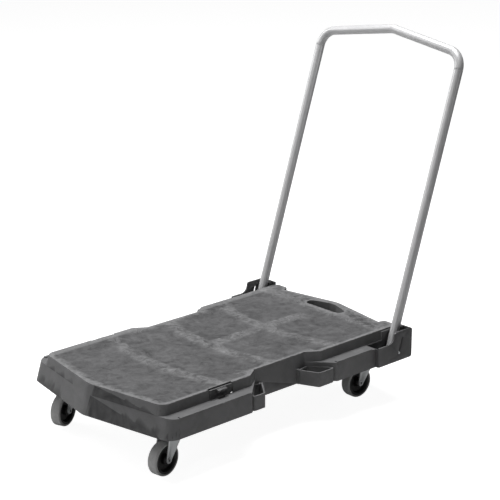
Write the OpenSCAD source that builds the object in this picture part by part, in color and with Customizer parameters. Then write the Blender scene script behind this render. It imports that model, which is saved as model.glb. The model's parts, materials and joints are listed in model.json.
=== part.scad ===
// Folding platform cart: moulded deck on four swivel casters with a
// tubular handle that lifts, folds forward and lies round the deck edge.
// Millimetres. Deck-centred frame: -X is the front, +X the handle end,
// -Y is the left side for a person pushing, Z is up from the floor.

/* [Deck] */
// overall length of the deck at the foot of its skirt
deck_len = 830; // [690:1:1010]
// width of the flat top between its long edges
top_w = 420; // [350:1:510]
// how far the skirt and its ledge stand out beyond the top, each side
ledge_w = 39.5; // [36:0.5:60]
// how far the waist between the tie-down loops is drawn in, each side
waist_in = 21; // [10:1:40]
// height of the deck from the foot of its skirt to its top
skirt_h = 69; // [57:0.5:90]
// drop from the deck top to the ledge the folded handle lies on
ledge_drop = 23.7; // [19.5:0.1:30]
// moulded wall thickness
wall = 3.5; // [2.5:0.1:5]
// how far the front and rear edges rise to their middle
prow = 33; // [20:1:50]
// rounding of the middle of the front and rear edges
bow_r = 60; // [30:5:300]

/* [Handle] */
// outside diameter of the handle tube
tube_d = 22.2; // [18.5:0.1:27]
// wall of the handle tube
tube_wall = 1.6; // [1.2:0.1:2.5]
// clear space between the long edge of the top and a leg
leg_gap = 9.9; // [9:0.1:14]
// how far the folded grip's centre line lies ahead of the deck's foot
bow_gap = 8; // [6:0.5:20]
// rise of the grip to its peak
grip_rise = 34; // [20:1:50]
// centre line radius of the two corner bends
bend_r = 44; // [36:1:70]
// lean of the open handle from upright, in degrees
lean = 18.3; // [8:0.1:25]
// pin travel up the bracket slot
lift = 37; // [30:0.5:45]
// distance of the pivot pin from the rear end of the deck, handle open
pin_in = 76.5; // [60:0.5:110]
// diameter of the pivot pin
pin_d = 6; // [5:0.1:8]

/* [Casters] */
// wheel diameter
wheel_d = 76.2; // [60:0.1:92]
// width of the tread
tread_w = 25.5; // [20:0.5:32]
// distance from the swivel axis to the wheel axle
trail = 27; // [20:0.5:32]
// height of the caster's mounting face above the top of its wheel
caster_gap = 25.4; // [22:0.1:40]
// swivel axes in from the ends of the deck
swivel_in = 100; // [80:1:160]
// front swivel axes in from the long edges of the top
front_in = 25; // [15:1:60]
// rear swivel axes in from the long edges of the top
rear_in = 40; // [20:1:70]
// heading of each caster as it stands, in degrees
head_fl = 8; // [-180:1:180]
// heading of the front right caster
head_fr = 21; // [-180:1:180]
// heading of the rear left caster
head_rl = -3; // [-180:1:180]
// heading of the rear right caster
head_rr = 12; // [-180:1:180]

/* [Latches] */
// length of a latch tab along the deck
latch_len = 66; // [50:1:80]
// distance of the latch centre ahead of the deck centre
latch_x = 193; // [175:1:230]

/* [Hidden] */
$fn = 48;
e = 0.01;
// slope of the side walls, sideways per unit of height
draft = 0.3376;
// slope of the end faces
end_draft = 0.3;
hl = deck_len / 2;
tw = top_w / 2;
sw = tw + ledge_w;
ww = tw - waist_in;
tube_r = tube_d / 2;
leg_y = tw + leg_gap + tube_r;
pin_r = pin_d / 2;
wheel_r = wheel_d / 2;
caster_h = wheel_d + caster_gap;
skirt_z = caster_h + 1.4;
deck_h = skirt_z + skirt_h;
ledge_z = deck_h - ledge_drop;
s_l = sin(lean);
c_l = cos(lean);
// pivot pin, handle open: at the foot of its slot
pin_x = hl - pin_in;
rest_gap = 0.23;
pin_z = ledge_z + rest_gap + tube_r - lift * c_l;
// pivot pin to the peak of the grip, along the legs
handle_len = pin_x + hl + bow_gap;
prow_a = atan(grip_rise / leg_y);
swivel_x = hl - swivel_in;
front_y = tw - front_in;
rear_y = tw - rear_in;
// half spacing of a caster's bolts, along and across
bolt_x = 29;
bolt_y = 22;
// outside faces of the brackets and their underside
br_y = leg_y + tube_r + 18.4;
br_x0 = hl - 147;
br_x1 = hl - 31;
br_z0 = pin_z - 21.1;
peak_r = 50;
// sides of the bow's section
bow_n = 32;
peak_cut = peak_r * (1 / cos(prow_a) - 1);
// the row origin sits below the middle of the whole part
x_high = pin_x + (handle_len - peak_cut) * s_l + tube_r;
x_mid = (x_high - hl) / 2;

// ---------- deck outlines ----------
// thin slice through rounded corners [x, y, radius] at height z
module slice(pts, z) {
  for (p = pts)
    translate([p[0], p[1], z])
      cylinder(h = e, r = p[2], $fn = 32);
}

// corners of one deck end, from its bowed tip to the waist, drawn in by i;
// s is -1 for the front and 1 for the rear
function end_pts(s, tip, half, waist, r, x_out, x_in, i) = [
  for (t = [-1, 1])
    for (p = concat(
      [for (a = [0:4:8]) [tip - bow_r + (bow_r - 20) * cos(a), (bow_r - 20) * sin(a), 20]],
      [[tip - prow * half / tw - r, half - r, r],
        [x_out + 8, half - 8, 8], [x_in + 2, waist - 8, 8]]))
      [s * p[0], t * p[1], p[2] - i]];

// distance of the waist corners from the deck centre
function jog(s) = s < 0 ? 72 : 88;

// tip of the deck at height z: both blocks share one sloping end face
function tip(z) = hl - (z - skirt_z) * end_draft;

// upper block: deck top down to the ledge, drawn in by i
module upper_end(s, i, z0, z1) {
  x = jog(s);
  hull() {
    for (z = [z0, z1 - e]) {
      d = (deck_h - z) * draft;
      slice(end_pts(s, tip(z), tw + d / 2, ww + d / 3, 22, x + 26, x, i), z);
    }
  }
}

// lower block: ledge down to the foot of the skirt, drawn in by i
module lower_end(s, i, z0, z1, half) {
  x = jog(s);
  hull() {
    for (z = [z0, z1 - e]) {
      d = (deck_h - z) * draft;
      out = half - (z - skirt_z) * 0.044;
      slice(end_pts(s, tip(z), out, ww + d / 3, 32, x + (s < 0 ? 56 : 46), x, i), z);
    }
  }
}

// waist block over the full height
module waist(i, z0, z1) {
  hull() {
    for (z = [z0, z1 - e]) {
      y = ww + (deck_h - z) * 0.1 - 3;
      slice([for (s = [-1, 1]) for (t = [-1, 1]) [s * 98, t * y, 3 - i * 0.8]], z);
    }
  }
}

// tie-down loop beside the waist: an open frame of radius r about its corners
module loop_block(s, t, r, z0, z1) {
  x = jog(s);
  hull() {
    for (p = [[x + (s < 0 ? 48 : 36), sw - 8], [x + (s < 0 ? 22 : -4), sw - 8],
      [x - (s < 0 ? 8 : 22), ww + 13], [x + (s < 0 ? 6 : 2), ww + 11]])
      translate([s * p[0], t * p[1], z0])
        cylinder(h = z1 - z0, r = r, $fn = 24);
  }
}

module tie_loop(s, t) {
  difference() {
    union() {
      loop_block(s, t, 5.5, skirt_z, deck_h - 34);
      // root of the frame, where it runs into the waist wall
      translate([s * (jog(s) - (s < 0 ? 14 : 26)) - 4, t > 0 ? ww - 2 : -ww - 12, skirt_z])
        cube([8, 14, deck_h - 34 - skirt_z]);
    }
    loop_block(s, t, 2, skirt_z - 5, deck_h);
  }
}

// grip slot in the handle end of the top, grown by g
module grip_slot(g, z0, z1) {
  hull()
    for (t = [-1, 1])
      for (p = [[hl - 65, 46, 14], [hl - 62, 32, 16], [hl - 57, 8, 19]])
        translate([p[0], t * p[1], z0])
          cylinder(h = z1 - z0, r = p[2] + g, $fn = 32);
}

// squared rear corner of the top beside a bracket, drawn in by i
module ear(t, i, z0, z1) {
  hull()
    for (p = [[br_x1 - 8, tw - 34, 7], [br_x1 - 13, tw - 12, 12],
      [br_x1 - 39, tw - 12, 12], [br_x1 - 39, tw - 34, 12]])
      translate([p[0], t * p[1], z0])
        cylinder(h = z1 - z0, r = p[2] - i, $fn = 32);
}

// low rim along the outer edge of the ledges, outside the folded handle
module ledge_rims() {
  rear = jog(1) + 52;
  for (t = [-1, 1])
    for (x = [[75 - hl, -134], [rear, br_x0 - 10]])
      translate([x[0], t > 0 ? leg_y + 7 : 2.6 - sw, ledge_z - 1])
        cube([x[1] - x[0], sw - 9.6 - leg_y, 3.2]);
}

module latch_window(t) {
  x0 = -latch_x - latch_len / 2 - 1.6;
  translate([x0, t > 0 ? tw - 5.5 : -tw - 8, ledge_z - 1])
    cube([latch_len + 3.2, 13.5, ledge_drop + 3]);
  translate([-latch_x - 14, t > 0 ? tw - 5.5 : -tw - 13, ledge_z - 2.2])
    cube([28, 18.5, 6]);
}

// ---------- deck ----------
// lower rear block, narrowed where the handle brackets take over the corners
module lower_rear(i, z0, z1) {
  intersection() {
    lower_end(1, i, z0, z1, sw);
    union() {
      translate([0, i - tw - 4.2, 0])
        cube([hl + 20, 2 * (tw + 4.2 - i), deck_h]);
      translate([0, -hl, 0])
        cube([br_x0 - i, 2 * hl, deck_h]);
    }
  }
}

module deck_block(i, z0, z1) {
  for (t = [-1, 1])
    ear(t, i, i > 0 ? z0 : skirt_z + 9, z1);
  for (s = [-1, 1])
    upper_end(s, i, ledge_z - 2 * i, z1);
  lower_end(-1, i, z0, ledge_z + e - i, sw);
  lower_rear(i, z0, ledge_z + e - i);
  waist(i, z0, z1);
}

module deck_shell() {
  color([0.24, 0.24, 0.25])
    difference() {
      union() {
        deck_block(0, skirt_z, deck_h);
        for (s = [-1, 1])
          for (t = [-1, 1])
            tie_loop(s, t);
        ledge_rims();
      }
      // hollow underside
      difference() {
        deck_block(wall, skirt_z - 1, deck_h - wall);
        grip_slot(3, deck_h - 26, deck_h);
      }
      grip_slot(0, deck_h - 40, deck_h + 20);
      latch_window(-1);
      latch_window(1);
    }
}

module rib(x0, y0, x1, y1, t, z0, z1) {
  translate([x0 - (x0 == x1 ? t / 2 : 0), y0 - (y0 == y1 ? t / 2 : 0), z0])
    cube([x0 == x1 ? t : x1 - x0, y0 == y1 ? t : y1 - y0, z1 - z0]);
}

module underside_ribs() {
  z1 = deck_h - wall;
  z0 = skirt_z + 8;
  color([0.22, 0.22, 0.23])
  difference() {
    union() {
      for (y = [-130, -65, 0, 65, 130])
        rib(73.5 - hl, y, hl - 91.5, y, 3, z0, z1);
      for (x = [75 - hl, -240, -160, -80, 0, 80, 160, 240, hl - 93])
        rib(x, -131.5, x, 131.5, 3, z0, z1);
    }
    translate([-205, -20, z0 - 1])
      cube([6, 40, 6]);
  }
}

// hollow pad that carries one caster, stepped to follow the ledge
module mount_pad(x, y) {
  half_x = 36;
  half_y = 34;
  s = sign(y);
  step_z = ledge_z - wall - 1.2;
  in_y = abs(y) - half_y;
  difference() {
    union() {
      translate([x - half_x, y - half_y, caster_h])
        cube([2 * half_x, 2 * half_y, step_z - caster_h]);
      translate([x - half_x, s > 0 ? in_y : wall + 11.5 - tw, caster_h])
        cube([2 * half_x, tw - wall - 11.5 - in_y, deck_h - wall - caster_h]);
    }
    translate([x - half_x + 3, y - half_y + 4, caster_h + 6])
      cube([2 * half_x - 6, 2 * half_y - 8, step_z - caster_h - 9]);
    caster_holes(x, y, caster_h - 1, 9, 3.05);
  }
}

// four upright holes or shanks at a caster's bolt corners
module caster_holes(x, y, z, h, r) {
  for (a = [-1, 1])
    for (b = [-1, 1])
      translate([x + a * bolt_x, y + b * bolt_y, z])
        cylinder(h = h, r = r);
}

module caster_mounts() {
  color([0.22, 0.22, 0.23])
    for (t = [-1, 1]) {
      mount_pad(-swivel_x, t * front_y);
      mount_pad(swivel_x, t * rear_y);
    }
}

// hexagon bolts through the caster plates
module caster_bolts() {
  color([0.7, 0.7, 0.72])
    for (k = [[-swivel_x, front_y], [swivel_x, rear_y]])
      for (t = [-1, 1]) {
        caster_holes(k[0], t * k[1], caster_h - 2.5, 11.5, 3);
        for (a = [-1, 1])
          for (b = [-1, 1])
            translate([k[0] + a * bolt_x, t * k[1] + b * bolt_y, caster_h - 6.5])
              cylinder(h = 4, r = 5.6, $fn = 6);
      }
}

// ---------- handle brackets ----------
// points along an arc about [x, y]
function arc(x, y, r, from, to, n = 8) = [for (k = [0:n])
  let (a = from + (to - from) * k / n) [x + r * cos(a), y + r * sin(a)]];

// side plate with its low front, curved rise and rounded corners
module side_plate(th) {
  foot = br_z0 + 0.6;
  lo = ledge_z + 4;
  hi = deck_h + 6.5;
  rise = br_x0 + 54;
  dip = hi - 6 - lo;
  rotate([90, 0, 0])
    linear_extrude(height = th)
      difference() {
        polygon(concat([[br_x0, lo], [br_x0, foot]],
          arc(br_x1 - 6, foot + 6, 6, -90, 0),
          arc(br_x1 - 6, hi - 6, 6, 0, 90),
          arc(rise + 6, hi - 6, 6, 90, 180),
          arc(rise - dip, lo + dip, dip, 0, -90)));
        pin_slot_2d();
      }
}

// slanted slot the pivot pin travels in
module pin_slot_2d() {
  w = pin_r + 0.25;
  translate([pin_x, pin_z])
    rotate(-lean)
      polygon(concat(arc(0, 0, w, 180, 360, 12), arc(0, lift, w, 0, 180, 12)));
}

// right-hand bracket; the left one is its mirror image
module bracket() {
  yi = tw + 4.4;
  lo = ledge_z - 0.3;
  difference() {
    union() {
      translate([0, br_y, 0])
        side_plate(4);
      // rear wall
      translate([br_x1 - 4, yi, br_z0 + 6.6])
        cube([4, br_y - yi - 3.9, deck_h + 4.5 - br_z0 - 6.6]);
      // floor, front wall and inner wall of the pocket
      translate([br_x0, yi, br_z0])
        cube([br_x1 - br_x0 - 2, br_y - yi - 3.9, 4]);
      translate([br_x0, yi, br_z0 + 0.6])
        cube([4, br_y - yi - 3.9, lo - br_z0 - 0.6]);
      difference() {
        translate([br_x0, yi + 2.6, 0])
          rotate([90, 0, 0])
            linear_extrude(height = 2.6)
              difference() {
                translate([0, br_z0 + 0.6])
                  square([br_x1 - br_x0 - 1, deck_h - 2.6 - br_z0]);
                translate([-1, lo])
                  square([56, 60]);
              }
        translate([0, yi + 5, 0])
          rotate([90, 0, 0])
            linear_extrude(height = 8)
              pin_slot_2d();
      }
      // stop the open handle rests against
      translate([br_x1 - 3, leg_y + 8, 0])
        rotate([90, 0, 0])
          linear_extrude(height = 16)
            polygon([[0, deck_h - 10], [0, deck_h + 5],
              [-(br_x1 - 3 - stop_x(deck_h + 5)), deck_h + 5],
              [-(br_x1 - 3 - stop_x(deck_h - 4)), deck_h - 4]]);
    }
    for (p = bracket_holes)
      translate([p[0], yi - 1, p[1]])
        rotate([-90, 0, 0])
          cylinder(h = 5, r = 2.3);
  }
}

// places [x, z] of the screws through a bracket's inner wall
bracket_holes = [[br_x0 + 18, br_z0 + 23.6], [br_x1 - 14, br_z0 + 13.6]];

// rear face of the open handle's leg at height z, plus a small gap
function stop_x(z) = pin_x + (z - pin_z) * s_l / c_l + tube_r / c_l + 0.3;

module left_bracket() {
  color([0.26, 0.26, 0.27])
    mirror([0, 1, 0])
      bracket();
}

module right_bracket() {
  color([0.26, 0.26, 0.27])
    bracket();
}

// pan-head screws through the brackets' inner walls into the deck
module bracket_screws() {
  yi = tw + 4.4;
  color([0.15, 0.15, 0.16])
    for (t = [0, 1])
      mirror([0, t, 0])
        for (p = bracket_holes)
          translate([p[0], yi + 2.6, p[1]])
            rotate([-90, 0, 0]) {
              difference() {
                cylinder(h = 1.9, r = 4);
                translate([0, 0, 0.9])
                  cylinder(h = 3, r = 1.6, $fn = 6);
              }
              translate([0, 0, -2.5])
                cylinder(h = 2.5 + e, r = 2.2);
            }
}

// ---------- handle ----------
// places a handle drawn upright about its pin at its leaning angle
module open_handle() {
  translate([pin_x, 0, pin_z])
    rotate([0, lean, 0])
      children();
}

// top of a straight leg, where the corner bend starts, above the pin
leg_top = handle_len - grip_rise - bend_r * tan((90 - prow_a) / 2);

// stations along the bow, each [centre y, centre z, radius, angle]:
// right corner, peak and left corner, every one an arc
bow = concat(
  [for (k = [0:9]) [leg_y - bend_r, leg_top, bend_r, k / 9 * (90 - prow_a)]],
  [for (k = [-3:2:3]) [0, handle_len - peak_cut - peak_r, peak_r, 90 + k / 3 * prow_a]],
  [for (k = [9:-1:0]) [bend_r - leg_y, leg_top, bend_r, 180 - k / 9 * (90 - prow_a)]]);

// ring of points round one station, of radius r
function ring(b, r) = [for (k = [0:bow_n - 1])
  let (a = 360 * k / bow_n, q = b[2] + r * cos(a))
    [r * sin(a), b[0] + q * cos(b[3]), b[1] + q * sin(b[3])]];

// one closed skin: outer wall, inner wall and the two open ends
module handle_bow() {
  m = len(bow);
  size = m * bow_n;
  points = [for (r = [tube_r, tube_r - tube_wall]) for (b = bow) each ring(b, r)];
  function id(w, i, k) = w * size + i * bow_n + k % bow_n;
  walls = [for (w = [0, 1]) for (i = [0:m - 2]) for (k = [0:bow_n - 1])
    let (f = [id(w, i, k), id(w, i + 1, k), id(w, i + 1, k + 1), id(w, i, k + 1)])
      w == 0 ? f : [f[3], f[2], f[1], f[0]]];
  ends = [for (k = [0:bow_n - 1]) for (i = [0, m - 1])
    let (f = [id(0, i, k), id(0, i, k + 1), id(1, i, k + 1), id(1, i, k)])
      i == 0 ? f : [f[3], f[2], f[1], f[0]]];
  color([0.72, 0.73, 0.74])
    open_handle()
      polyhedron(points, concat(walls, ends));
}

// straight leg with its cross bore for the pivot pin; t is -1 left, 1 right
module handle_leg(t) {
  color([0.72, 0.73, 0.74])
    open_handle()
      translate([0, t * leg_y, 0])
        difference() {
          translate([0, 0, -11.5])
            cylinder(h = leg_top + 11.5 - e, r = tube_r);
          translate([0, 0, -13])
            cylinder(h = leg_top + 26, r = tube_r - tube_wall);
          translate([0, -20, 0])
            rotate([-90, 0, 0])
              cylinder(h = 40, r = pin_r + 0.05);
        }
}

module tube_plugs() {
  color([0.12, 0.12, 0.12])
    open_handle()
      for (t = [-1, 1])
        translate([0, t * leg_y, 0]) {
          translate([0, 0, -13.5])
            cylinder(h = 2, r = tube_r);
          translate([0, 0, -11.5 - e])
            cylinder(h = 7, r = tube_r - tube_wall - 0.05);
        }
}

module pivot_pins() {
  color([0.8, 0.8, 0.82])
    for (t = [-1, 1])
      translate([pin_x, t > 0 ? tw + 4.6 : -br_y - 1, pin_z])
        rotate([-90, 0, 0])
          cylinder(h = br_y + 1 - tw - 4.6, r = pin_r);
}

module pivot_spacers() {
  color([0.15, 0.15, 0.16])
    for (t = [-1, 1])
      translate([pin_x, t > 0 ? leg_y + tube_r + 0.3 : -br_y + 4.3, pin_z])
        rotate([-90, 0, 0])
          difference() {
            cylinder(h = br_y - 4.6 - leg_y - tube_r, r = 7);
            translate([0, 0, -1])
              cylinder(h = 40, r = pin_r + 0.05);
          }
}

// ---------- latches ----------
// sprung tab whose nose closes over the folded handle
module latch() {
  x0 = -latch_x - latch_len / 2;
  w = leg_y - tube_r - 0.5;
  translate([x0, tw - 1, ledge_z + 1])
    cube([latch_len, 3, ledge_drop - 3]);
  translate([x0 + 4, tw - 2.4, ledge_z + 1])
    cube([latch_len - 8, 1.6, 5]);
  translate([-latch_x - 13, tw + 1.9, 0])
    rotate([90, 0, 90])
      linear_extrude(height = 26)
        polygon([[0, ledge_z + 8], [w - tw - 4, ledge_z + 13.5],
          [w - tw - 1.9, ledge_z + 15.5], [w - tw - 1.9, ledge_z + 18.5],
          [0, ledge_z + 20.5]]);
}

module left_latch() {
  color([0.24, 0.24, 0.25])
    mirror([0, 1, 0])
      latch();
}

module right_latch() {
  color([0.24, 0.24, 0.25])
    latch();
}

// ---------- casters ----------
module at_caster(c) {
  x = c < 2 ? -swivel_x : swivel_x;
  y = (c % 2 == 0 ? -1 : 1) * (c < 2 ? front_y : rear_y);
  translate([x, y, 0])
    children();
}

module turned(c) {
  a = [head_fl, head_fr, head_rl, head_rr];
  at_caster(c)
    rotate([0, 0, a[c]])
      children();
}

module caster_plate(c) {
  color([0.75, 0.76, 0.77])
    at_caster(c)
      difference() {
        union() {
          translate([-38, -31, caster_h - 2.5])
            cube([76, 62, 2.5]);
          translate([0, 0, caster_h - 9.5])
            cylinder(h = 7 + e, r1 = 20, r2 = 24);
        }
        caster_holes(0, 0, caster_h - 5, 9, 3.05);
        translate([0, 0, caster_h - 12])
          cylinder(h = 20, r = 5.05);
        translate([0, 0, caster_h - 1.4])
          cylinder(h = 5, r = 9.2);
      }
}

module kingpin(c) {
  color([0.7, 0.71, 0.72])
    at_caster(c) {
      translate([0, 0, caster_h - 18])
        cylinder(h = 17.7, r = 5);
      translate([0, 0, caster_h - 1.3])
        cylinder(h = 1, r = 9);
      translate([0, 0, caster_h - 17.6])
        cylinder(h = 2.9, r1 = 7, r2 = 9);
    }
}

// pressed fork: crown, two tapering legs
module fork(c) {
  zc = caster_h - 12.7;
  zw = wheel_r;
  color([0.78, 0.79, 0.8])
    turned(c)
      difference() {
        union() {
          translate([0, 0, zc])
            cylinder(h = 2.5, r = 23);
          translate([-23, -18, zc - 2])
            cube([38, 36, 4.5]);
          for (t = [0, 1])
            translate([0, t == 0 ? -15.5 : 18, 0])
              rotate([90, 0, 0])
                linear_extrude(height = 2.5) {
                  polygon([[-trail - 7.6, zw], [-25.5, zc - 3], [-23, zc + 1],
                    [15, zc + 1], [16, zc - 6], [-trail + 7.2, zw - 2.6]]);
                  translate([-trail, zw])
                    circle(r = 7.7);
                }
        }
        translate([0, 0, zc - 3])
          cylinder(h = 12, r = 5.05);
        translate([-30, -15.5, zc - 8])
          cube([60, 31, 8]);
        translate([-trail, 30, zw])
          rotate([90, 0, 0])
            cylinder(h = 60, r = 5.05);
      }
}

// hollow rivet the wheel turns on
module axle(c) {
  color([0.7, 0.71, 0.72])
    turned(c)
      translate([-trail, 0, wheel_r])
        rotate([90, 0, 0])
          difference() {
            union() {
              translate([0, 0, -19.4])
                cylinder(h = 38.8, r = 5);
              for (z = [-19.4, 18.1])
                translate([0, 0, z])
                  cylinder(h = 1.3, r = 6.6);
            }
            translate([0, 0, -25])
              cylinder(h = 50, r = 3.4);
          }
}

module core(c) {
  hw = tread_w / 2;
  r1 = wheel_r - 5.5;
  color([0.1, 0.1, 0.1])
    turned(c)
      translate([-trail, 0, wheel_r])
        rotate([90, 0, 0])
          rotate_extrude()
            polygon([[5.05, -15], [10, -15], [11, -14], [12, -4], [24, -4],
              [r1 - 4.5, 1 - hw], [r1, 1 - hw], [r1, hw - 1],
              [r1 - 4.5, hw - 1], [24, 4], [12, 4], [11, 14], [10, 15],
              [5.05, 15]]);
}

module tread(c) {
  hw = tread_w / 2;
  r1 = wheel_r - 5.5;
  color([0.5, 0.5, 0.51])
    turned(c)
      translate([-trail, 0, wheel_r])
        rotate([90, 0, 0])
          rotate_extrude(convexity = 4)
            intersection() {
              translate([r1 + 0.02, -hw])
                square([5.48, 2 * hw]);
              union() {
                translate([r1, -hw + 4])
                  square([5.5, 2 * hw - 8]);
                for (z = [4 - hw, hw - 4])
                  translate([wheel_r - 4, z])
                    circle(r = 4);
                translate([r1, -hw])
                  square([1.5, 2 * hw]);
              }
            }
}

// ---------- placed nodes ----------
translate([-x_mid, 0, 0]) {
  deck_shell();
  underside_ribs();
  caster_mounts();
  caster_bolts();
  left_bracket();
  right_bracket();
  bracket_screws();
  handle_leg(-1);  // left_leg
  handle_leg(1);  // right_leg
  handle_bow();
  tube_plugs();
  pivot_pins();
  pivot_spacers();
  left_latch();
  right_latch();
  caster_plate(0);  // front_left_plate
  kingpin(0);  // front_left_kingpin
  fork(0);  // front_left_fork
  axle(0);  // front_left_axle
  core(0);  // front_left_core
  tread(0);  // front_left_tread
  caster_plate(1);  // front_right_plate
  kingpin(1);  // front_right_kingpin
  fork(1);  // front_right_fork
  axle(1);  // front_right_axle
  core(1);  // front_right_core
  tread(1);  // front_right_tread
  caster_plate(2);  // rear_left_plate
  kingpin(2);  // rear_left_kingpin
  fork(2);  // rear_left_fork
  axle(2);  // rear_left_axle
  core(2);  // rear_left_core
  tread(2);  // rear_left_tread
  caster_plate(3);  // rear_right_plate
  kingpin(3);  // rear_right_kingpin
  fork(3);  // rear_right_fork
  axle(3);  // rear_right_axle
  core(3);  // rear_right_core
  tread(3);  // rear_right_tread
}
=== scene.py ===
import json
import math

import bpy
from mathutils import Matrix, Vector


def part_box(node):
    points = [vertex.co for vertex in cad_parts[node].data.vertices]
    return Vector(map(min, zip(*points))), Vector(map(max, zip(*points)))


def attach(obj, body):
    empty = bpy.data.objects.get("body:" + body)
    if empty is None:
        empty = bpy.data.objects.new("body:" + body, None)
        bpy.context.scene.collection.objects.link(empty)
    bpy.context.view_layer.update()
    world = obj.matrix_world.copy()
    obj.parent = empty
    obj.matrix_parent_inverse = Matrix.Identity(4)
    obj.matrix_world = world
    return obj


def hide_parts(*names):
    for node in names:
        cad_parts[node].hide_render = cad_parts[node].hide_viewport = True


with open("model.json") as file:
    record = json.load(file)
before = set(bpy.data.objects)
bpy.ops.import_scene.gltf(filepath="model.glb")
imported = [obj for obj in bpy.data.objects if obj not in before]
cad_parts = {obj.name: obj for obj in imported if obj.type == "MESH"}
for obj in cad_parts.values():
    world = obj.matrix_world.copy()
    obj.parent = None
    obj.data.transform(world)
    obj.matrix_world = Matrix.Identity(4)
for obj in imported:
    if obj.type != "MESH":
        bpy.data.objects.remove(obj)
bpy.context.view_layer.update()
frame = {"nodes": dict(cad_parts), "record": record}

bpy.ops.object.select_all(action="DESELECT")

# ---- camera ----
# A long lens from the front left of the deck and well above it, looking down
# at it. It stands at a fixed offset from the middle of the deck.
deck_low, deck_high = (Vector(corner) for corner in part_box("deck_shell"))
deck_mid = Vector(((deck_low.x + deck_high.x) / 2, 0, 0))
camera_data = bpy.data.cameras.new("camera")
camera_data.lens = 113.9
camera_data.sensor_width = 36
camera_from_middle = Vector((-2.345, -2.619, 1.500))
camera_down, camera_turn = 17.441, -42.934
camera = bpy.data.objects.new("camera", camera_data)
camera.location = deck_mid + camera_from_middle
camera.rotation_euler = (math.radians(90 - camera_down), 0, math.radians(camera_turn))
bpy.context.collection.objects.link(camera)
bpy.context.scene.camera = camera
bpy.context.scene.view_settings.view_transform = "Standard"


# ---- studio ----
# A plain white floor, a wide lamp overhead, one on the far side that grazes
# the deck's front end and a weak one in front. Floor and room look white to the
# camera but light the cart only faintly, so that its walls stay dark.
def colour(code):
    """An sRGB hex colour as linear RGBA."""
    parts = [int(code[i:i + 2], 16) / 255 for i in (1, 3, 5)]
    return [*(c / 12.92 if c <= 0.04045 else ((c + 0.055) / 1.055) ** 2.4 for c in parts), 1]


def add(tree, kind, settings=(), links=()):
    """One node, its sockets and properties set, its inputs linked."""
    made = tree.nodes.new(kind)
    for key, value in dict(settings).items():
        if isinstance(key, int) or key in made.inputs:
            made.inputs[key].default_value = value
        else:
            setattr(made, key, value)
    for key, source in dict(links).items():
        tree.links.new(source, made.inputs[key])
    return made


def new_material(name):
    """An empty material; returns it with its tree and shader."""
    material = bpy.data.materials.new(name)
    material.use_nodes = True
    tree = material.node_tree
    tree.nodes.clear()
    shader = add(tree, "ShaderNodeBsdfPrincipled")
    add(tree, "ShaderNodeOutputMaterial", links={"Surface": shader.outputs[0]})
    return material, tree, shader


bpy.ops.mesh.primitive_plane_add(size=30)
floor = bpy.context.object
floor.name = "floor"
floor_paint, floor_tree, floor_shader = new_material("white_studio_floor")
floor_shader.inputs["Base Color"].default_value = colour("#b4b4b4")
floor_shader.inputs["Roughness"].default_value = 0.9
floor_shader.inputs["Emission Color"].default_value = colour("#ffffff")
floor_seen = add(floor_tree, "ShaderNodeLightPath").outputs["Is Camera Ray"]
glow_given, glow_seen = 0.08, 0.93
floor_glow = add(floor_tree, "ShaderNodeMapRange",
                 {"To Min": glow_given, "To Max": glow_seen}, {"Value": floor_seen})
floor_tree.links.new(floor_glow.outputs[0], floor_shader.inputs["Emission Strength"])
floor.data.materials.append(floor_paint)

world = bpy.data.worlds.new("white_room")
bpy.context.scene.world = world
world.use_nodes = True
room = world.node_tree
seen = add(room, "ShaderNodeLightPath").outputs["Is Camera Ray"]
room_given, room_seen = 0.05, 1.0
level = add(room, "ShaderNodeMapRange", {"To Min": room_given, "To Max": room_seen}, {"Value": seen})
room.nodes["Background"].inputs["Color"].default_value = colour("#ffffff")
room.links.new(level.outputs[0], room.nodes["Background"].inputs["Strength"])


def lamp(name, place, aim, size, power):
    """A square area lamp turned towards a point."""
    data = bpy.data.lights.new(name, "AREA")
    data.size = size
    data.energy = power
    made = bpy.data.objects.new(name, data)
    made.location = place
    made.rotation_euler = (Vector(aim) - Vector(place)).to_track_quat("-Z", "Y").to_euler()
    bpy.context.collection.objects.link(made)


lamp("overhead_lamp", (0.2, 0.5, 3.2), (0, 0, 0.2), 2.0, 118)
lamp("far_side_lamp", (-1.2, 3.5, 1.8), (0, 0, 0.15), 2.4, 52)
lamp("front_fill_lamp", (-3.6, -0.4, 1.4), (-0.3, 0, 0.15), 1.6, 14)

# ---- deck ----
# One large structural foam moulding in charcoal resin, open underneath, with
# softly rounded edges and a fine grain. The top carries low crossing bands
# between shallow dished panels; how deep they are is a guess.
record = frame["record"]
body_of_node = {n: b for b, names in record["behaviour"]["bodies"].items() for n in names}


def softened(node, width, segments=2, angle=28, material=None):
    """A finer copy of a CAD node with its sharp edges rounded, standing for the node."""
    source = frame["nodes"][node]
    piece = bpy.data.objects.new(node + "_fine", source.data.copy())
    bpy.context.collection.objects.link(piece)
    bpy.ops.object.select_all(action="DESELECT")
    bpy.context.view_layer.objects.active = piece
    piece.select_set(True)
    bpy.ops.object.mode_set(mode="EDIT")
    bpy.ops.mesh.select_all(action="SELECT")
    bpy.ops.mesh.remove_doubles(threshold=0.00001)
    bpy.ops.mesh.dissolve_limited(angle_limit=math.radians(0.5))
    bpy.ops.object.mode_set(mode="OBJECT")
    bevel = piece.modifiers.new("rounded_edges", "BEVEL")
    bevel.width = width
    bevel.segments = segments
    bevel.limit_method = "ANGLE"
    bevel.angle_limit = math.radians(angle)
    bevel.use_clamp_overlap = True
    bpy.ops.object.modifier_apply(modifier=bevel.name)
    bpy.ops.object.shade_smooth_by_angle(angle=math.radians(angle))
    piece.data.materials.clear()
    if material:
        piece.data.materials.append(material)
    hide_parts(node)
    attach(piece, body_of_node[node])
    return piece


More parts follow.
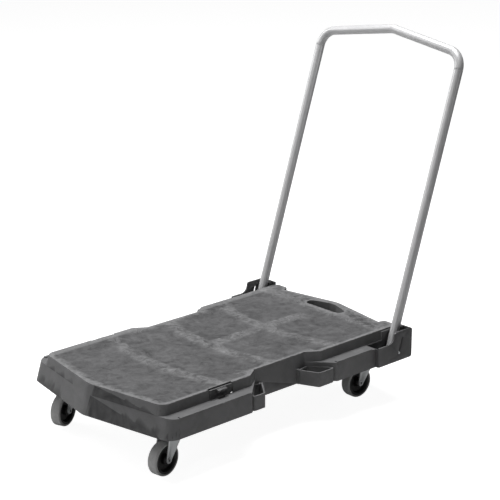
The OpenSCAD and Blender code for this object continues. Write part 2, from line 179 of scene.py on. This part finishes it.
def moulded_plastic(name, dark, light, roughness, grain_mm, streak_mm, grain_depth=0.25):
    """Moulded resin: streaky colour, sharp edges painted paler as a painted highlight, and a fine moulded-in
    grain.
    """
    material, tree, shader = new_material(name)
    place = add(tree, "ShaderNodeTexCoord").outputs["Object"]
    streaks = add(tree, "ShaderNodeTexNoise",
                  {"Scale": 1000 / streak_mm, "Detail": 6.0, "Roughness": 0.62, "Distortion": 1.4},
                  {"Vector": place})
    tone = add(tree, "ShaderNodeValToRGB", links={"Fac": streaks.outputs["Fac"]})
    tone.color_ramp.elements[0].position = 0.32
    tone.color_ramp.elements[0].color = colour(dark)
    tone.color_ramp.elements[1].position = 0.72
    tone.color_ramp.elements[1].color = colour(light)
    # painted highlight: the sharpest edges are mixed towards a pale grey
    edge = add(tree, "ShaderNodeNewGeometry").outputs["Pointiness"]
    painted_edge_highlight = add(tree, "ShaderNodeMapRange",
               {"From Min": 0.51, "From Max": 0.58, "To Min": 0.0, "To Max": 0.45}, {"Value": edge})
    mix = add(tree, "ShaderNodeMix", {"data_type": "RGBA"})
    tree.links.new(painted_edge_highlight.outputs[0], mix.inputs[0])
    tree.links.new(tone.outputs[0], mix.inputs[6])
    mix.inputs[7].default_value = colour("#8b8b8c")
    tree.links.new(mix.outputs[2], shader.inputs["Base Color"])
    patch = add(tree, "ShaderNodeTexNoise",
                {"Scale": 1000 / (streak_mm * 0.7), "Detail": 4.0}, {"Vector": place})
    rough = add(tree, "ShaderNodeMapRange",
                {"To Min": roughness - 0.08, "To Max": roughness + 0.10}, {"Value": patch.outputs["Fac"]})
    tree.links.new(rough.outputs[0], shader.inputs["Roughness"])
    grain = add(tree, "ShaderNodeTexVoronoi", {"Scale": 1000 / grain_mm}, {"Vector": place})
    bump = add(tree, "ShaderNodeBump", {"Strength": grain_depth, "Distance": 0.0004},
               {"Height": grain.outputs["Distance"]})
    tree.links.new(bump.outputs[0], shader.inputs["Normal"])
    shader.inputs["IOR"].default_value = 1.5
    return material


deck_resin = moulded_plastic("charcoal_structural_foam_resin", "#343435", "#5e5e5f", 0.50, 1.6, 60)
tree = deck_resin.node_tree
shader = next(n for n in tree.nodes if n.type == "BSDF_PRINCIPLED")
plain = shader.inputs["Base Color"].links[0].from_socket
place = add(tree, "ShaderNodeTexCoord").outputs["Object"]
height = add(tree, "ShaderNodeSeparateXYZ", links={"Vector": place}).outputs["Z"]
# the top is scuffed paler, most of all on the raised bands; heights in metres
panel_z, band_z = deck_high.z - 0.0017, deck_high.z - 0.0003
under_z, over_z = deck_high.z - 0.0028, deck_high.z - 0.0020
panel_wear, band_wear = 0.22, 0.62
worn_top = add(tree, "ShaderNodeMapRange",
               {"From Min": panel_z, "From Max": band_z, "To Min": panel_wear, "To Max": band_wear},
               {"Value": height})
on_top = add(tree, "ShaderNodeMapRange", {"From Min": under_z, "From Max": over_z}, {"Value": height})
# scuffs in patches of about 26 mm, with finer ones inside them
wipes = add(tree, "ShaderNodeTexNoise", {"Scale": 38.0, "Detail": 9.0, "Roughness": 0.74, "Distortion": 1.6},
            {"Vector": place})
patchy = add(tree, "ShaderNodeMapRange", {"From Min": 0.38, "From Max": 0.64, "To Min": 0.0, "To Max": 1.0},
             {"Value": wipes.outputs["Fac"]})
worn_now = add(tree, "ShaderNodeMath", {"operation": "MULTIPLY"},
               {0: worn_top.outputs[0], 1: on_top.outputs[0]})
amount = add(tree, "ShaderNodeMath", {"operation": "MULTIPLY"},
             {0: worn_now.outputs[0], 1: patchy.outputs[0]})
scuffed = add(tree, "ShaderNodeMix", {"data_type": "RGBA"})
tree.links.new(amount.outputs[0], scuffed.inputs[0])
tree.links.new(plain, scuffed.inputs[6])
scuffed.inputs[7].default_value = colour("#9a9a9b")
# small pale nicks, about 8 mm apart
nicks = add(tree, "ShaderNodeTexNoise", {"Scale": 130.0, "Detail": 8.0, "Roughness": 0.75}, {"Vector": place})
nicked = add(tree, "ShaderNodeMapRange", {"From Min": 0.70, "From Max": 0.76, "To Min": 0.0, "To Max": 0.6},
             {"Value": nicks.outputs["Fac"]})
marked = add(tree, "ShaderNodeMix", {"data_type": "RGBA"})
tree.links.new(nicked.outputs[0], marked.inputs[0])
tree.links.new(scuffed.outputs[2], marked.inputs[6])
marked.inputs[7].default_value = colour("#c8c8c8")
tree.links.new(marked.outputs[2], shader.inputs["Base Color"])

deck = softened("deck_shell", 0.0022, 3, material=deck_resin)


def step(value):
    """Smooth rise from 0 to 1."""
    value = min(max(value, 0.0), 1.0)
    return value * value * (3 - 2 * value)


def dish(x, y):
    """Depth below the raised bands at a place on the top, from the deck's middle."""
    depth = 0.0018
    band_half, band_slope = 0.011, 0.009
    rim_width, rim_slope = 0.004, 0.012
    bow = (y / 0.19) ** 2 * 0.034
    bands = min(abs(x + 0.212 - bow), abs(x + 0.040 - bow), abs(x - 0.139 - bow))
    spine = max(abs(y), -0.040 - x, x - 0.26)
    rim = min((0.188 if abs(x) < 0.12 else 0.209) - abs(y), 0.385 + x - abs(y) * 0.17, 0.325 - x)
    off_band = step((min(bands, spine) - band_half) / band_slope)
    return depth * off_band * step((rim - rim_width) / rim_slope)


# the deck is cut into a grid so that the panels can be pressed into its top
grid = 0.008
bpy.ops.object.mode_set(mode="EDIT")
for axis, reach in ((0, 0.384), (1, 0.204)):
    normal = [0, 0, 0]
    normal[axis] = 1
    place_now = -reach
    while place_now <= reach:
        bpy.ops.mesh.select_all(action="SELECT")
        cut = [deck_mid.x, 0, 0]
        cut[axis] += place_now
        bpy.ops.mesh.bisect(plane_co=cut, plane_no=normal)
        place_now += grid
bpy.ops.object.mode_set(mode="OBJECT")
for vertex in deck.data.vertices:
    if vertex.co.z > deck_high.z - 0.00005:
        vertex.co.z -= dish(vertex.co.x - deck_mid.x, vertex.co.y)
bpy.ops.object.shade_smooth_by_angle(angle=math.radians(28))
evened = deck.modifiers.new("evened_shading", "WEIGHTED_NORMAL")
evened.keep_sharp = True
bpy.ops.object.modifier_apply(modifier=evened.name)
for hidden_node in ("underside_ribs", "caster_mounts"):
    softened(hidden_node, 0.0004, 1, material=deck_resin)

# ---- latch tabs ----
# Two sprung tabs moulded into the deck's side walls, whose noses hold the
# folded handle down, in the same resin. Behind each is a thin dark plate that
# only this model has, to close the view through the window into the hollow
# deck: it is painted shade standing in for the shade inside the deck.
shade_sheet_size = (0.078, 0.0012, 0.040)
shade_sheet_y, shade_sheet_drop = 0.2000, 0.004
for side, sign in (("left", -1), ("right", 1)):
    softened(f"{side}_latch", 0.0005, 2, material=deck_resin)
    low, high = (Vector(corner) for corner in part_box(f"{side}_latch"))
    # a dark plate of deck resin, painted shade in place of the shadow inside the hollow deck
    bpy.ops.mesh.primitive_cube_add(size=1)
    shade_sheet = bpy.context.object
    shade_sheet.name = f"{side}_latch_shade_sheet"
    bpy.ops.object.mode_set(mode="EDIT")
    bpy.ops.transform.resize(value=shade_sheet_size)
    bpy.ops.transform.translate(value=((low.x + high.x) / 2, sign * shade_sheet_y, low.z - shade_sheet_drop))
    bpy.ops.object.mode_set(mode="OBJECT")
    shade_sheet.data.materials.append(deck_resin)
    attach(shade_sheet, "deck")

# ---- handle brackets ----
# Smooth moulded corner pockets screwed to the deck's rear corners. Each
# holds one leg of the handle and has a slanted slot for the pivot pin.
bracket_resin = moulded_plastic("charcoal_glass_filled_nylon", "#3e3e3f", "#4c4c4d", 0.40, 0.9, 60, 0.10)
for side in ("left", "right"):
    softened(f"{side}_bracket", 0.0010, 2, material=bracket_resin)

black_steel, tree, shader = new_material("black_oxide_steel")
place = add(tree, "ShaderNodeTexCoord").outputs["Object"]
speck = add(tree, "ShaderNodeTexNoise", {"Scale": 900.0, "Detail": 3.0}, {"Vector": place})
tone = add(tree, "ShaderNodeMix", {"data_type": "RGBA"})
tree.links.new(speck.outputs["Fac"], tone.inputs[0])
tone.inputs[6].default_value = colour("#1c1c1d")
tone.inputs[7].default_value = colour("#303031")
tree.links.new(tone.outputs[2], shader.inputs["Base Color"])
shader.inputs["Metallic"].default_value = 0.6
shader.inputs["Roughness"].default_value = 0.45
softened("bracket_screws", 0.0004, 2, material=black_steel)

# ---- handle ----
# One bent steel tube, 7/8 in, powder coated silver grey. The coat is smooth
# with a faint orange peel, and a little duller where hands and brackets rub.
silver_coat, tree, shader = new_material("silver_grey_powder_coat")
place = add(tree, "ShaderNodeTexCoord").outputs["Object"]
rub = add(tree, "ShaderNodeTexNoise", {"Scale": 14.0, "Detail": 5.0, "Roughness": 0.6}, {"Vector": place})
tone = add(tree, "ShaderNodeMix", {"data_type": "RGBA"})
tree.links.new(rub.outputs["Fac"], tone.inputs[0])
tone.inputs[6].default_value = colour("#c6c6c7")
tone.inputs[7].default_value = colour("#d8d8d9")
tree.links.new(tone.outputs[2], shader.inputs["Base Color"])
dull = add(tree, "ShaderNodeMapRange", {"To Min": 0.30, "To Max": 0.46}, {"Value": rub.outputs["Fac"]})
tree.links.new(dull.outputs[0], shader.inputs["Roughness"])
shader.inputs["Metallic"].default_value = 0.25
peel = add(tree, "ShaderNodeTexNoise", {"Scale": 650.0, "Detail": 2.0}, {"Vector": place})
bump = add(tree, "ShaderNodeBump", {"Strength": 0.12, "Distance": 0.0002}, {"Height": peel.outputs["Fac"]})
tree.links.new(bump.outputs[0], shader.inputs["Normal"])
for node in ("left_leg", "right_leg", "handle_bow"):
    softened(node, 0.0003, 1, 40, silver_coat)

black_plastic = moulded_plastic("black_moulded_nylon", "#161616", "#232324", 0.42, 0.8, 20, 0.08)
softened("tube_plugs", 0.0006, 2, material=black_plastic)
softened("pivot_spacers", 0.0003, 1, material=black_plastic)

# ---- pins, casters ----
# Pressed and zinc-plated steel: bright and slightly cloudy.
zinc, tree, shader = new_material("bright_zinc_plated_steel")
place = add(tree, "ShaderNodeTexCoord").outputs["Object"]
cloud = add(tree, "ShaderNodeTexNoise", {"Scale": 70.0, "Detail": 5.0}, {"Vector": place})
tone = add(tree, "ShaderNodeMix", {"data_type": "RGBA"})
tree.links.new(cloud.outputs["Fac"], tone.inputs[0])
tone.inputs[6].default_value = colour("#b9bbbc")
tone.inputs[7].default_value = colour("#dcdedf")
tree.links.new(tone.outputs[2], shader.inputs["Base Color"])
shader.inputs["Metallic"].default_value = 0.85
mist = add(tree, "ShaderNodeMapRange", {"To Min": 0.28, "To Max": 0.5}, {"Value": cloud.outputs["Fac"]})
tree.links.new(mist.outputs[0], shader.inputs["Roughness"])
softened("pivot_pins", 0.0004, 2, material=zinc)
softened("caster_bolts", 0.0003, 1, material=zinc)

core_plastic = moulded_plastic("black_wheel_nylon", "#111111", "#1d1d1e", 0.38, 0.7, 18, 0.06)
grey_rubber = moulded_plastic("grey_non_marking_rubber", "#acacac", "#c0c0c0", 0.62, 0.6, 14, 0.15)
for corner in ("front_left", "front_right", "rear_left", "rear_right"):
    softened(f"{corner}_plate", 0.0005, 2, material=zinc)
    softened(f"{corner}_kingpin", 0.0003, 1, material=zinc)
    softened(f"{corner}_fork", 0.0006, 2, material=zinc)
    softened(f"{corner}_axle", 0.0003, 2, material=zinc)
    softened(f"{corner}_core", 0.0004, 2, material=core_plastic)
    softened(f"{corner}_tread", 0.0004, 1, 40, grey_rubber)
